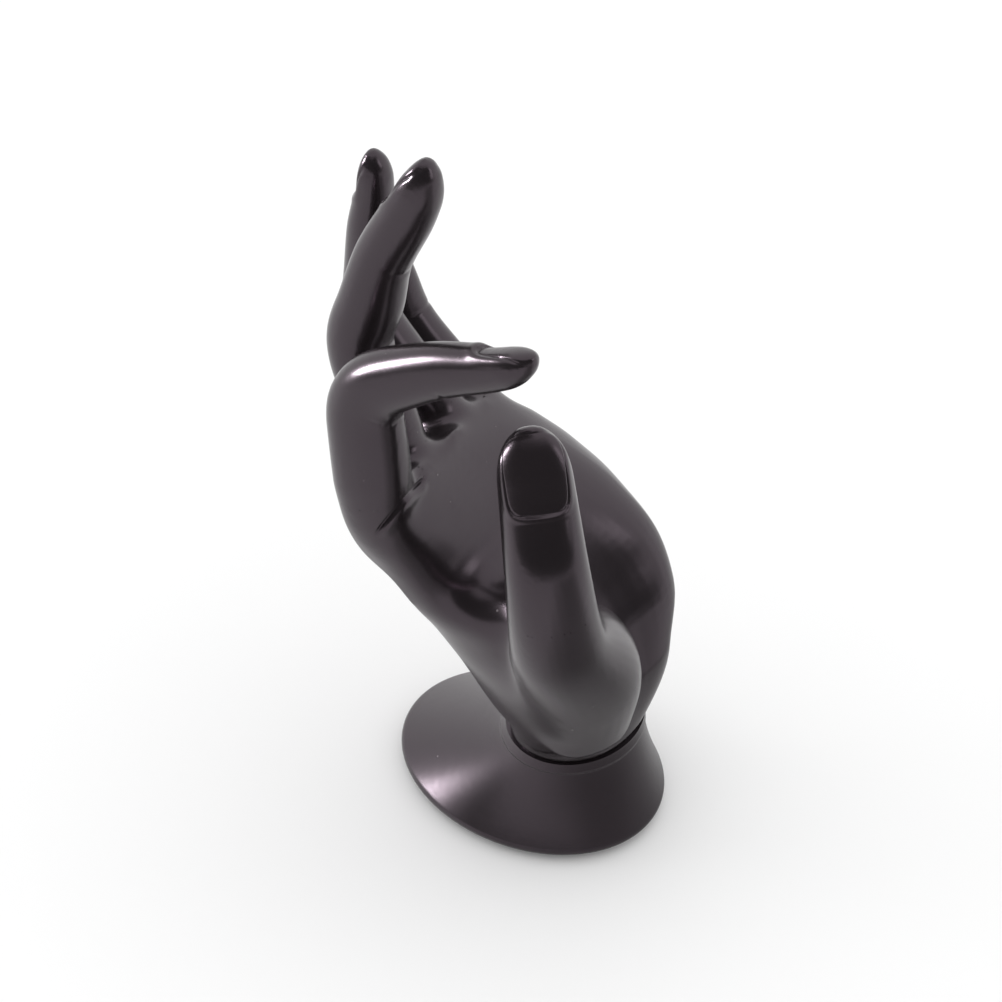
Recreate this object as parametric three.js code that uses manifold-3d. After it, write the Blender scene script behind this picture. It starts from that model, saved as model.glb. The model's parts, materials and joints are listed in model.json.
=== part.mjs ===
// Hand ring holder: a display hand with bent forefinger and raised thumb, on a flared oval foot.
// The hand is cast in sections that are pegged into each other and bonded.
// Millimetres, +Z up. The origin is the middle of the pad's underside.
// X runs from the forefinger's side to the little finger's side, and the palm faces -Y.
import * as THREE from 'three';
import Module from 'manifold-3d';

// Fits
const BOND = 0.3;
const PEG_LENGTH = 8;
const PEG_WIDTH = 6.4;
const PEG_HOLD = 4;

// Foot: pad, flared base and the weight in it
const PAD_THICK = 1.5;
const PAD_INSET = 1.2;
const FOOT_LONG = 72.4;
const FOOT_SHORT = 57.4;
const FOOT_HEADING = 69;
const FAR_TRIM = 1;
const FAR_TRIM_HEADING = 45;
const FAR_TRIM_POWER = 4;
const RIM_ROUND = 2;
const RIM_TOP_ANGLE = 50;
const BASE_HEIGHT = 24.5;
const FLARE_POWER = 1.3;
const NECK_WIDTH = 37;
const NECK_DEPTH = 31;
const NECK_ACROSS = -3.3;
const NECK_INWARD = 13.4;
const BASE_WALL = 5;
const HOLLOW_DEPTH = 9;
const BALLAST_HEIGHT = 7;
const SOCKET_DEPTH = 9;
const SOCKET_WALL = 8;

// Hand: its length from the wrist to the middle finger's tip, laid flat, and how many parts of that
// length the tables below are given in. Then its lean towards its back, its tilt towards the thumb,
// and the wrist's place over the neck.
const HAND_LENGTH = 166;
const HAND_PART_COUNT = 166;
const HAND_LEAN = 22.6;
const HAND_TILT = 6.2;
const WRIST_ACROSS = -4;
const WRIST_INWARD = 1.8;
const WRIST_RISE = 4.7;

// Palm sections, from the heel to the roots of the fingers. Each is square to the hand at its height
// and gives the thumb's edge, the little finger's edge, the depth of the back, and the depth of the
// palm at the ball of the thumb, in the hollow and at the outer heel. Skew drops the outer edge.
const PALM = [
  { up: 6, inner: -15.5, outer: 24, back: 13, ball: 15, hollow: 18.5, heel: 27, skew: 0 },
  { up: 18, inner: -20.5, outer: 33.5, back: 12.5, ball: 14, hollow: 19, heel: 31, skew: 0 },
  { up: 32, inner: -23, outer: 38.6, back: 12, ball: 11, hollow: 16.5, heel: 28.6, skew: -0.03 },
  { up: 46, inner: -27, outer: 39.3, back: 11.5, ball: 9.5, hollow: 13.6, heel: 22.4, skew: -0.08 },
  { up: 60, inner: -31, outer: 36.7, back: 11, ball: 9.4, hollow: 10.8, heel: 15.9, skew: -0.15 },
  { up: 72, inner: -34, outer: 31.6, back: 10.5, ball: 10, hollow: 8.4, heel: 9.6, skew: -0.2 },
  { up: 81, inner: -34, outer: 26.1, back: 9, ball: 9.6, hollow: 6.8, heel: 4.3, skew: -0.22 },
];
const PALM_SQUARENESS = 2.3;
const PALM_CORNER = 3.3;
const PALM_BLEND = 0.75;
const PALM_END_ROUND = 2.4;
const PALM_END_DRAW = 0.14;
const HEEL_BULGE = 0.6;

// Fingers. The knuckle is given across, up and inward from the wrist. Bends are at the knuckle, the
// middle joint and the end joint. Widths are at the knuckle, the shaft, the joints and the pad.
const FINGERS = [
  {
    name: 'index_finger', knuckle: [-25, 74, -2], splay: -6, bends: [17, 66.5, 7.5],
    bones: [40.9, 22, 24.2], widths: [14, 15, 13.4, 10.8, 9.4], seam: 15,
  },
  {
    name: 'middle_finger', knuckle: [-10, 71.4, -3.2], splay: -9.4, bends: [0, 38.4, 10],
    bones: [43, 24, 28], widths: [14.5, 14.2, 14.6, 12, 10.4], seam: 16,
  },
  {
    name: 'ring_finger', knuckle: [8.4, 68, -3.4], splay: -2.9, bends: [-12.5, 40, 2],
    bones: [42.5, 23.6, 20.6], widths: [14, 13.4, 12.6, 10.4, 8.8], seam: 16,
  },
  {
    name: 'little_finger', knuckle: [20, 62.6, -3.1], splay: -5, bends: [-19, 24, 14],
    bones: [38.5, 16.5, 14.5], widths: [12.5, 11.6, 10.4, 9, 7.5], seam: 14,
  },
];
const KNUCKLE_START = -4;
const KNUCKLE_END = 18;
const JOINT_TURN = 9;
const ROOT_DEPTH = 1;
const PAD_DEPTH = 0.88;
const ROOT_LENGTH = 26;
const ROOT_TAPER = 0.55;
const CARPUS = [2, 8, -2];
const SHAFT_AT = 0.4;
const SHANK_AT = 0.5;
const PAD_AT = 0.45;
const TIP_WIDTH = 0.9;
const TIP_LENGTH = 0.55;
const TIP_TURN = 82;
const LIMB_SQUARENESS = 2.2;

// Thumb: places across, up and inward from the wrist, with the width there and its depth as a share
const THUMB = [
  { place: [-9.5, 10, 8.5], width: 27, depth: 1 },
  { place: [-14, 25.3, 18.7], width: 29, depth: 1 },
  { place: [-29, 47.7, 31.4], width: 21, depth: 0.95 },
  { place: [-30, 66.5, 38], width: 18.4, depth: 0.9 },
  { place: [-23.5, 80.7, 38.9], width: 16.6, depth: 0.84 },
  { place: [-17, 94.9, 39.8], width: 15, depth: 0.78 },
];
const THUMB_TURN = 52;
const THUMB_SEAM = 60;

// Web of skin between thumb and palm
const WEB = [
  { place: [-15, 60, -2], width: 13, depth: 1.6 },
  { place: [-14.5, 51.5, 3], width: 15, depth: 1.85 },
  { place: [-14, 46.5, 9.5], width: 16, depth: 1.95 },
  { place: [-15, 43.5, 17], width: 16.5, depth: 1.75 },
  { place: [-18.5, 42.5, 25], width: 18, depth: 1.1 },
];

// Facets
const LIMB_SIDES = 18;
const PALM_SIDES = 32;
const BASE_SIDES = 48;
const LIMB_STEPS = 20;
const ROOT_STEPS = 10;
const WEB_STEPS = 8;
const PEG_SIDES = 12;
const PEG_STEPS = 4;
const TIP_STEPS = 4;
const PALM_STEPS = 16;
const HEEL_STEPS = 4;
const FLARE_STEPS = 9;
const RIM_STEPS = 5;
const HOLLOW_STEPS = 4;
const CURVE_STEPS = 50;
const STRIDE = 0.5;

const wasm = await Module();
wasm.setup();

const radians = THREE.MathUtils.degToRad;
const vector = (x, y, z) => new THREE.Vector3(x, y, z);

// Smooth curve through stops of [place, value], level at every local high or low
function through(stops) {
  const slopes = stops.slice(1).map(([s, v], i) => (v - stops[i][1]) / (s - stops[i][0]));
  const tangents = stops.map((_, i) => {
    const before = slopes[Math.max(i - 1, 0)];
    const after = slopes[Math.min(i, slopes.length - 1)];
    return before * after > 0 ? (2 * before * after) / (before + after) : 0;
  });
  return (s) => {
    const found = stops.findIndex(([place]) => place > s);
    const i = found < 0 ? stops.length - 2 : Math.max(found - 1, 0);
    const span = stops[i + 1][0] - stops[i][0];
    const t = THREE.MathUtils.clamp((s - stops[i][0]) / span, 0, 1);
    const rise = t * t * (3 - 2 * t);
    const leave = t * (1 - t) * (1 - t) * span * tangents[i];
    const arrive = t * t * (1 - t) * span * tangents[i + 1];
    return stops[i][1] + rise * (stops[i + 1][1] - stops[i][1]) + leave - arrive;
  };
}

// Closed solid through a stack of rings with equal counts, each counter-clockwise about the way ahead
function loft(rings) {
  const sides = rings[0].length;
  const middle = (ring) => ring.reduce((sum, p) => sum.add(p), vector(0, 0, 0)).divideScalar(sides);
  const points = [...rings.flat(), middle(rings[0]), middle(rings.at(-1))];
  const start = points.length - 2;
  const end = points.length - 1;
  const last = (rings.length - 1) * sides;
  const faces = [];
  for (let j = 0; j < sides; j += 1) {
    const next = (j + 1) % sides;
    for (let i = 0; i < last; i += sides) {
      faces.push(i + j, i + next, i + sides + next, i + j, i + sides + next, i + sides + j);
    }
    faces.push(start, next, j, end, last + j, last + next);
  }
  const geometry = new THREE.BufferGeometry().setFromPoints(points).setIndex(faces);
  return solidOf(geometry);
}

function solidOf(geometry) {
  const vertProperties = new Float32Array(geometry.getAttribute('position').array);
  const triVerts = new Uint32Array(geometry.index.array);
  return new wasm.Manifold(new wasm.Mesh({ numProp: 3, vertProperties, triVerts }));
}

function geometryOf(solid) {
  const { vertProperties, triVerts } = solid.getMesh();
  const geometry = new THREE.BufferGeometry();
  geometry.setAttribute('position', new THREE.BufferAttribute(vertProperties, 3));
  geometry.setIndex(new THREE.BufferAttribute(triVerts, 1));
  return geometry;
}

// Rounded section: power 2 is an oval, more is squarer
function sectionPoint(turn, squareness) {
  const bend = (value) => Math.sign(value) * Math.abs(value) ** (2 / squareness);
  return [bend(Math.cos(turn)), bend(Math.sin(turn))];
}

const turns = (count) => Array.from({ length: count }, (_, i) => (i / count) * 2 * Math.PI);
const steps = (from, to, count) => {
  const step = (to - from) / count;
  return Array.from({ length: count + 1 }, (_, i) => from + i * step);
};

// Hand frame
const padTop = PAD_THICK;
const footLevel = padTop + BOND;
const neckLevel = footLevel + BASE_HEIGHT;
const neckCentre = vector(NECK_ACROSS, -NECK_INWARD, neckLevel);
const wrist = neckCentre.clone().add(vector(WRIST_ACROSS, -WRIST_INWARD, WRIST_RISE));
const lean = radians(HAND_LEAN);
const inward = vector(0, -Math.cos(lean), Math.sin(lean));
const across = vector(1, 0, 0).applyAxisAngle(inward, radians(HAND_TILT));
const upward = vector(0, Math.sin(lean), Math.cos(lean)).applyAxisAngle(inward, radians(HAND_TILT));

const sized = (parts) => (parts * HAND_LENGTH) / HAND_PART_COUNT;

function handPoint(...parts) {
  const [a, u, i] = parts.map(sized);
  return wrist.clone().addScaledVector(across, a).addScaledVector(upward, u).addScaledVector(inward, i);
}

// A limb knows its length, its frame at a distance along it, and its half width and depth there
function fingerLimb(finger) {
  const [knuckleBend, middleBend, endBend] = finger.bends;
  const [first, second, third] = finger.bones.map(sized);
  const [knuckle, shaft, middle, end, pad] = finger.widths.map(sized);
  const length = first + second + third;
  const side = across.clone().applyAxisAngle(inward, radians(finger.splay));
  const ahead = upward.clone().applyAxisAngle(inward, radians(finger.splay));
  const root = handPoint(...finger.knuckle);
  const bone = root.clone().sub(handPoint(...CARPUS)).normalize();
  const heading = (s) => radians(
    knuckleBend
    + middleBend * THREE.MathUtils.smoothstep(s, first - JOINT_TURN, first + JOINT_TURN)
    + endBend * THREE.MathUtils.smoothstep(s, first + second - JOINT_TURN, first + second + JOINT_TURN),
  );
  const width = through([
    [-ROOT_LENGTH, knuckle * ROOT_TAPER], [0, knuckle], [first * SHAFT_AT, shaft], [first, middle],
    [first + second * SHANK_AT, (middle + end) / 2], [first + second, end],
    [first + second + third * PAD_AT, pad], [length, pad * TIP_WIDTH],
  ]);
  const depth = through([[-ROOT_LENGTH, ROOT_DEPTH], [first, ROOT_DEPTH], [length, PAD_DEPTH]]);
  const wayAt = (s) => {
    const angle = heading(s);
    const free = ahead.clone().multiplyScalar(Math.cos(angle)).addScaledVector(inward, Math.sin(angle));
    return free.lerp(bone, THREE.MathUtils.smoothstep(-s, -KNUCKLE_END, -KNUCKLE_START)).normalize();
  };
  const frameAt = (s) => {
    const centre = root.clone();
    const count = Math.max(1, Math.round(Math.abs(s) / STRIDE));
    for (let k = 0; k < count; k += 1) {
      centre.addScaledVector(wayAt(((k + 0.5) / count) * s), s / count);
    }
    const along = wayAt(s);
    const square = side.clone().addScaledVector(along, -side.dot(along)).normalize();
    return { centre, side: square, back: along.clone().cross(square) };
  };
  return { length, seam: sized(finger.seam), start: -ROOT_LENGTH, frameAt, width, depth };
}

function pathLimb(stations, sideWay, seam) {
  const places = stations.map(({ place }) => handPoint(...place));
  const curve = new THREE.CatmullRomCurve3(places, false, 'centripetal');
  const length = curve.getLength();
  const lengths = curve.getLengths((stations.length - 1) * CURVE_STEPS);
  const marks = stations.map((_, i) => lengths[i * CURVE_STEPS]);
  const width = through(stations.map((station, i) => [marks[i], sized(station.width)]));
  const depth = through(stations.map((station, i) => [marks[i], station.depth]));
  const frameAt = (s) => {
    const at = THREE.MathUtils.clamp(s / length, 0, 1);
    const along = curve.getTangentAt(at);
    const side = sideWay.clone().addScaledVector(along, -sideWay.dot(along)).normalize();
    return { centre: curve.getPointAt(at), side, back: along.clone().cross(side) };
  };
  return { length, seam, start: 0, frameAt, width, depth };
}

function limbRing(limb, s, scale, grow) {
  const { centre, side, back } = limb.frameAt(s);
  const half = (limb.width(s) / 2) * scale + grow;
  const deep = (limb.width(s) / 2) * limb.depth(s) * scale + grow;
  return turns(LIMB_SIDES).map((turn) => {
    const [x, y] = sectionPoint(turn, LIMB_SQUARENESS);
    return centre.clone().addScaledVector(side, x * half).addScaledVector(back, y * deep);
  });
}

// The free length of a limb, from a place near its seam to the rounded tip
function limbTip(limb, from, grow) {
  const tip = limb.width(limb.length) * TIP_LENGTH;
  const shoulder = limb.length - tip;
  const rings = steps(from, shoulder, LIMB_STEPS).map((s) => limbRing(limb, s, 1, grow));
  for (let k = 1; k <= TIP_STEPS; k += 1) {
    const turn = (k / TIP_STEPS) * radians(TIP_TURN);
    rings.push(limbRing(limb, shoulder + tip * Math.sin(turn), Math.cos(turn), grow));
  }
  return loft(rings);
}

// The root of a limb, which belongs to the palm
function limbRoot(limb) {
  return loft(steps(limb.start, limb.seam, ROOT_STEPS).map((s) => limbRing(limb, s, 1, 0)));
}

function limbPeg(limb, grow) {
  const rings = steps(limb.seam - PEG_LENGTH - grow, limb.seam + PEG_HOLD, PEG_STEPS).map((s) => {
    const { centre, side, back } = limb.frameAt(s);
    const half = PEG_WIDTH / 2 + grow;
    return turns(PEG_SIDES).map((turn) => centre.clone()
      .addScaledVector(side, Math.cos(turn) * half)
      .addScaledVector(back, Math.sin(turn) * half));
  });
  return loft(rings);
}

const limbPiece = (limb) => limbTip(limb, limb.seam, 0).add(limbPeg(limb, 0));
const limbSpace = (limb) => limbTip(limb, limb.seam - BOND, BOND).add(limbPeg(limb, BOND));
const clearOf = (solid, limbs) => limbs.reduce((body, limb) => body.subtract(limbSpace(limb)), solid);

// Foot outlines, by heading from their own centres
function ovalReach(long, short, heading) {
  return (turn) => {
    const a = Math.cos(turn - heading) / (long / 2);
    const b = Math.sin(turn - heading) / (short / 2);
    return 1 / Math.hypot(a, b);
  };
}

const footReach = ovalReach(FOOT_LONG, FOOT_SHORT, radians(FOOT_HEADING));

function rimReach(turn) {
  const facing = Math.max(Math.cos(turn - radians(FAR_TRIM_HEADING)), 0);
  return footReach(turn) - FAR_TRIM * facing ** FAR_TRIM_POWER;
}
const neckReach = ovalReach(NECK_WIDTH, NECK_DEPTH, 0);

// Ring at a height: share 0 lies on the rim's outline and 1 on the neck's, drawn in by an inset
function footRing(level, share, inset) {
  const x = neckCentre.x * share;
  const y = neckCentre.y * share;
  return turns(BASE_SIDES).map((turn) => {
    const reach = THREE.MathUtils.lerp(rimReach(turn), neckReach(turn), share) - inset;
    return vector(x + reach * Math.cos(turn), y + reach * Math.sin(turn), level);
  });
}

const rimTop = radians(RIM_TOP_ANGLE);
const rimLevel = footLevel + RIM_ROUND;
const flareLevel = rimLevel + RIM_ROUND * Math.sin(rimTop);
const flareInset = RIM_ROUND * (1 - Math.cos(rimTop));

// The flare at a height: how far it has drawn in from the rim to the neck
function flareRing(level, inset) {
  const rise = THREE.MathUtils.clamp((level - flareLevel) / (neckLevel - flareLevel), 0, 1);
  const share = 1 - (1 - rise) ** FLARE_POWER;
  return footRing(level, share, inset + flareInset * (1 - share));
}

function baseShell() {
  const rim = steps(-Math.PI / 2, rimTop, RIM_STEPS).map((turn) => footRing(
    rimLevel + RIM_ROUND * Math.sin(turn), 0, RIM_ROUND * (1 - Math.cos(turn)),
  ));
  const flare = steps(flareLevel, neckLevel, FLARE_STEPS).slice(1).map((level) => flareRing(level, 0));
  return loft([...rim, ...flare]);
}

function hollowSpace(bottom, top) {
  return loft(steps(bottom, top, HOLLOW_STEPS).map((level) => flareRing(level, BASE_WALL)));
}

// A straight puck that goes up the hollow and stops a bond line short of its roof and wall
function ballastPuck(roof) {
  const outline = flareRing(roof, BASE_WALL + BOND);
  const levels = [roof - BOND - BALLAST_HEIGHT, roof - BOND];
  return loft(levels.map((level) => outline.map((p) => vector(p.x, p.y, level))));
}

// The wrist's oval spigot in the neck, from a level up into the heel
function wristSpigot(bottom, grow) {
  const top = neckLevel + PEG_HOLD;
  const rings = [bottom, top].map((level) => turns(PALM_SIDES).map((turn) => vector(
    neckCentre.x + (NECK_WIDTH / 2 - SOCKET_WALL + grow) * Math.cos(turn),
    neckCentre.y + (NECK_DEPTH / 2 - SOCKET_WALL + grow) * Math.sin(turn),
    level,
  )));
  return loft(rings);
}

function palmRing(sizes) {
  const face = through([[-PALM_BLEND, sizes.ball], [0, sizes.hollow], [PALM_BLEND, sizes.heel]]);
  return turns(PALM_SIDES).map((turn) => {
    const corner = Math.cos(turn) < 0 && Math.sin(turn) < 0;
    const [x, y] = sectionPoint(turn, corner ? PALM_CORNER : PALM_SQUARENESS);
    const place = THREE.MathUtils.lerp(sizes.inner, sizes.outer, (x + 1) / 2);
    return handPoint(place, sizes.up + sizes.skew * place, y > 0 ? -y * sizes.back : -y * face(x));
  });
}

function palmBody() {
  const sizeOf = {};
  Object.keys(PALM[0]).forEach((key) => {
    sizeOf[key] = through(PALM.map((section) => [section.up, section[key]]));
  });
  const heights = steps(PALM[0].up, PALM.at(-1).up, PALM_STEPS);
  const rings = heights.map((up) => palmRing(Object.fromEntries(
    Object.entries(sizeOf).map(([key, curve]) => [key, curve(up)]),
  )));
  const neck = turns(PALM_SIDES).map((turn) => vector(
    neckCentre.x + (NECK_WIDTH / 2) * Math.cos(turn),
    neckCentre.y + (NECK_DEPTH / 2) * Math.sin(turn),
    neckLevel + BOND,
  ));
  const heel = steps(0, Math.PI / 2, HEEL_STEPS).slice(0, -1).map((turn) => neck.map((p, i) => {
    const spread = p.clone().lerp(rings[0][i], Math.sin(turn));
    const rise = p.clone().lerp(rings[0][i], 1 - Math.cos(turn));
    return vector(spread.x, spread.y, THREE.MathUtils.lerp(spread.z, rise.z, HEEL_BULGE));
  }));
  const end = rings.at(-1);
  const middle = end.reduce((sum, p) => sum.add(p), vector(0, 0, 0)).divideScalar(end.length);
  const drawn = end.map((p) => p.clone().lerp(middle, PALM_END_DRAW));
  const rounded = drawn.map((p) => p.addScaledVector(upward, PALM_END_ROUND));
  return loft([...heel, ...rings, rounded]);
}

function palmCasting(fingers, thumb) {
  const web = pathLimb(WEB, upward, 0);
  const webBody = loft(steps(0, web.length, WEB_STEPS).map((s) => limbRing(web, s, 1, 0)));
  const limbs = [...fingers, thumb];
  const body = limbs.reduce((sum, limb) => sum.add(limbRoot(limb)), palmBody().add(webBody));
  const seated = clearOf(body, limbs).subtract(baseShell());
  return seated.add(wristSpigot(neckLevel - SOCKET_DEPTH + BOND, 0));
}

function finish(color, roughness, metalness) {
  return new THREE.MeshStandardMaterial({ color, roughness, metalness });
}

function piece(name, solid, material) {
  const mesh = new THREE.Mesh(geometryOf(solid), material);
  mesh.name = name;
  return mesh;
}

const blackGloss = () => finish(0x1d1b1c, 0.32, 0);

const fingerLimbs = FINGERS.map(fingerLimb);
const nailWay = across.clone().multiplyScalar(Math.cos(radians(THUMB_TURN)))
  .addScaledVector(inward, Math.sin(radians(THUMB_TURN)));
const thumbLimb = pathLimb(THUMB, nailWay, THUMB_SEAM);

const socket = wristSpigot(neckLevel - SOCKET_DEPTH, BOND);
const hollowTop = footLevel + HOLLOW_DEPTH;
const hollow = hollowSpace(footLevel - BOND, hollowTop);
const base = baseShell().subtract(hollow).subtract(socket);
const padInset = RIM_ROUND + PAD_INSET;
const pad = loft([footRing(0, 0, padInset), footRing(padTop, 0, padInset)]);

const holder = new THREE.Group();
holder.name = 'hand_ring_holder';
holder.add(piece('palm', palmCasting(fingerLimbs, thumbLimb), blackGloss()));
holder.add(piece('thumb', limbPiece(thumbLimb), blackGloss()));
FINGERS.forEach((finger, i) => {
  const neighbours = fingerLimbs.slice(0, i);
  holder.add(piece(finger.name, clearOf(limbPiece(fingerLimbs[i]), neighbours), blackGloss()));
});
holder.add(piece('flared_base', base, blackGloss()));
holder.add(piece('ballast', ballastPuck(hollowTop), finish(0x5a5855, 0.6, 0.9)));
holder.add(piece('felt_pad', pad, finish(0x141414, 0.95, 0)));

export default holder;
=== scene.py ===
import json
import math

import bmesh
import bpy
import numpy as np
from bpy.props import FloatProperty, FloatVectorProperty, IntProperty, PointerProperty
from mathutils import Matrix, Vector
from mathutils.bvhtree import BVHTree

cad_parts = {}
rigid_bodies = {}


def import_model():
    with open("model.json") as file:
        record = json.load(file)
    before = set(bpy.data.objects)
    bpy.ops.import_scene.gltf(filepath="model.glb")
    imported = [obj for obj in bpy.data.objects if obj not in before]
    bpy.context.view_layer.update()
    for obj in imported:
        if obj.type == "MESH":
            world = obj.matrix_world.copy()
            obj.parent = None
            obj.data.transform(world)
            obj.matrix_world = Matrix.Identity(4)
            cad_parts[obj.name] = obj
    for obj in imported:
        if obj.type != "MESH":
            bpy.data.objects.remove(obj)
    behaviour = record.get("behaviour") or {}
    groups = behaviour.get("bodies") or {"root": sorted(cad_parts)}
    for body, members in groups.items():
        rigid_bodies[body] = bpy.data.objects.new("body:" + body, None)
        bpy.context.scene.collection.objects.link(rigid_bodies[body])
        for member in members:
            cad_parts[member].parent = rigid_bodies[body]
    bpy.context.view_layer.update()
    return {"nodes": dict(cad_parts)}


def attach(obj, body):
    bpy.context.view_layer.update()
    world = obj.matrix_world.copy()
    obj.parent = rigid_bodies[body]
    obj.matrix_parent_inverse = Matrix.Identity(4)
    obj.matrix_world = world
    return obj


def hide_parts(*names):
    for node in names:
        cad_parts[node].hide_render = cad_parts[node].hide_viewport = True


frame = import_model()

bl_info = {
    "name": "Hand Ring Holder",
    "version": (1, 0, 0),
    "blender": (4, 5, 0),
    "location": "View3D > Sidebar > Ring Holder",
    "description": "Models a black display hand on a flared foot, for rings",
    "category": "Add Mesh",
}

MM = 0.001

# Sizes below are millimetres and degrees. Places are in the hand's own frame: across, up and inward from
# the wrist.
BOND = 0.3

# Every finger's root runs from the carpus. Its middle line turns near the knuckle and the joints, and is kept as
# samples a stride apart. The tapers and places are shares of a width or of a bone.
CARPUS = (2, 8, -2)
ROOT_LENGTH = 26
ROOT_TAPER = 0.55
TIP_TAPER = 0.9
SHAFT_AT = 0.45
SHANK_AT = 0.5
PAD_AT = 0.45
KNUCKLE_TURN = (-4, 18)
JOINT_TURN = 9
STRIDE = 0.25
PATH_STEPS = 200

# How finely the blanks are lofted, the powers of the rounded squares that their sections follow, and the
# length of a tip as a share of the limb's width there.
LIMB_SIDES = 32
LIMB_STEP = 1.5
LIMB_POWER = 2.2
TIP_STEPS = 12
TIP_END = 84
TIP_POWER = 0.92
TIP_LENGTH = {"thumb": 0.75, "finger": 0.9}
NAIL_LIFT = 0.3
PALM_SIDES = 64
PALM_STEP = 2.5
PALM_POWER = 2.3
PALM_CORNER = 3.3
PALM_BLEND = 0.75
HEEL_STEPS = 9
HEEL_BULGE = 0.6
WRIST_DROPS = (6, 3)
WEB_STEP = 2
THENAR_TIP = 8

# How far the palm's last outline draws in, and how far it rises.
PALM_END = ((0.03, 0.8), (0.08, 1.7), (0.16, 2.4))

PALM = {
    "up": (6, 18, 32, 46, 60, 72, 81),
    "inner": (-15.5, -20.5, -23, -27, -31, -34, -34),
    "outer": (24, 33.5, 38.6, 39.3, 36.7, 31.6, 26.1),
    "back": (13, 12.5, 12, 11.5, 11, 10.5, 9),
    "ball": (15, 14, 10.8, 8.3, 7.9, 8.7, 9.2),
    "hollow": (18.5, 19, 16.5, 13.6, 10.8, 8.4, 6.8),
    "heel": (27, 31, 28.6, 22.4, 15.9, 9.6, 4.3),
    "skew": (0, 0, -0.03, -0.08, -0.15, -0.2, -0.22),
}

# Bends are at the knuckle, the middle joint and the end joint. Widths are at the knuckle, the shaft, the
# two joints and the pad. Backs and pads are depths as shares of half the width, at the root, knuckle, shaft,
# middle joint, shank, end joint, pad and tip.
FINGERS = {
    "index_finger": dict(knuckle=(-25, 74, -2), splay=-6, bends=(17, 66.5, 7.5), bones=(41.4, 22, 24.8),
                         widths=(14, 15, 13.4, 10.8, 9.6), seam=15,
                         backs=(1, 1, 1, 1.06, 1.14, 1.12, 0.98, 0.78),
                         pads=(0.6, 1.1, 1.3, 1.42, 1.2, 1.16, 1.2, 0.9)),
    "middle_finger": dict(knuckle=(-10, 71.4, -3.2), splay=-9.4, bends=(0, 38.4, 10), bones=(43, 24, 28),
                          widths=(14.5, 14.2, 14.2, 12.2, 11.2), seam=16,
                          backs=(1, 1, 0.98, 0.96, 0.9, 0.94, 0.88, 0.74),
                          pads=(1, 1, 1.05, 1.08, 1.28, 1.15, 1.25, 0.95)),
    "ring_finger": dict(knuckle=(8.4, 68, -3.4), splay=-2.9, bends=(-12.5, 40, 2), bones=(42.5, 23.6, 20.6),
                        widths=(14, 13.4, 12.4, 10.4, 9), seam=16,
                        backs=(1, 1, 1, 1, 0.96, 0.98, 0.88, 0.74),
                        pads=(1, 1, 1.02, 0.94, 1.04, 0.94, 1.04, 0.84)),
    "little_finger": dict(knuckle=(20, 62.6, -3.1), splay=-5, bends=(-19, 24, 14), bones=(38.5, 16.5, 14.5),
                          widths=(12.5, 11.6, 10.4, 9, 7.5), seam=14,
                          backs=(1, 1, 1, 1, 0.96, 0.98, 0.88, 0.74),
                          pads=(1, 1, 1.02, 0.94, 1.04, 0.94, 1.04, 0.84)),
}

THUMB = {
    "place": ((-9.5, 10, 8.5), (-14, 25.3, 18.7), (-29, 47.7, 31.4), (-30, 66.5, 38), (-23.5, 80.7, 38.9),
              (-16.4, 96.2, 39.9)),
    "width": (27, 29, 21, 18.4, 16.8, 15.2),
    "depth": (1, 1, 0.95, 0.9, 0.84, 0.76),
    "turn": 52,
    "seam": 60,
}

WEB = {
    "place": ((-15, 60, -2), (-14.5, 51.5, 3), (-14, 48, 9.5), (-15, 46.5, 17), (-18.5, 45.5, 25)),
    "width": (13, 15, 16, 16.5, 18),
    "depth": (1.6, 1.85, 1.8, 1.55, 1.0),
}

THENAR = {
    "place": ((-11, 4, 2), (-15, 15, 3), (-17.5, 25, 6), (-20.5, 35, 9), (-22.5, 43, 10.5)),
    "width": (14, 15.4, 15.6, 15.4, 13.5),
    "depth": (1, 1, 1, 1, 1),
}

# The fold at the foot of the forefinger lies where a plane meets the skin: a point on it, its normal, how far
# the fold runs from there and over what length it fades. Then its groove, and the lip beside it.
FOLD = dict(at=(-27, 85.5, 8), way=(0.068, 0.826, -0.56), reach=10, fade=3)
FOLD_GROOVE = dict(deep=0.9, wide=0.4)
FOLD_LIP = dict(high=0.25, wide=0.9, aside=1.4)

# Knuckles swell over their joints, this far behind them. The wrist draws in at the neck. The finger joints have
# a crease underneath, which bows towards the tip.
KNUCKLE = dict(high=1.1, wide=6, behind=10)
NECK_GROOVE = dict(deep=0.7, wide=0.9)
CREASE = dict(deep=0.2, wide=0.7, bow=0.02, under=(0.3, 0.8))

# The skin is filleted where two blanks come near each other, but not on the free length of a finger or thumb.
FILLET = (1.0, 6.0)
FILLET_REACH = 8
FREE_FROM = {"thumb": (62, 74), "finger": (14, 24)}

# The skin is eased on the palm's thumb side, on the crest above it and on the web, in stages that grow outward.
# Each stage has the growth of the three regions and their passes.
EASE_STAGES = ((0, (700, 160, 160)), (2, (60, 60, 60)), (4, (20, 20, 20)), (7, (12, 12, 12)))
EASE_SIDE = dict(edge=-12, inward=(-6, 15), up=(9, 50), waist=8, waist_up=(42, 51))
EASE_CREST = dict(edge=-14, inward=(-4, 14), up=(46, 74))
EASE_WEB = dict(middle=(-16, 57, 14), half=(11, 9, 8))

# Facets are cut finer within these distances of the fold and past a nail's root.
FINE_FOLD = 2.5
FINE_NAIL = 2.5
FINE_CUTS = 2

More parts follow.
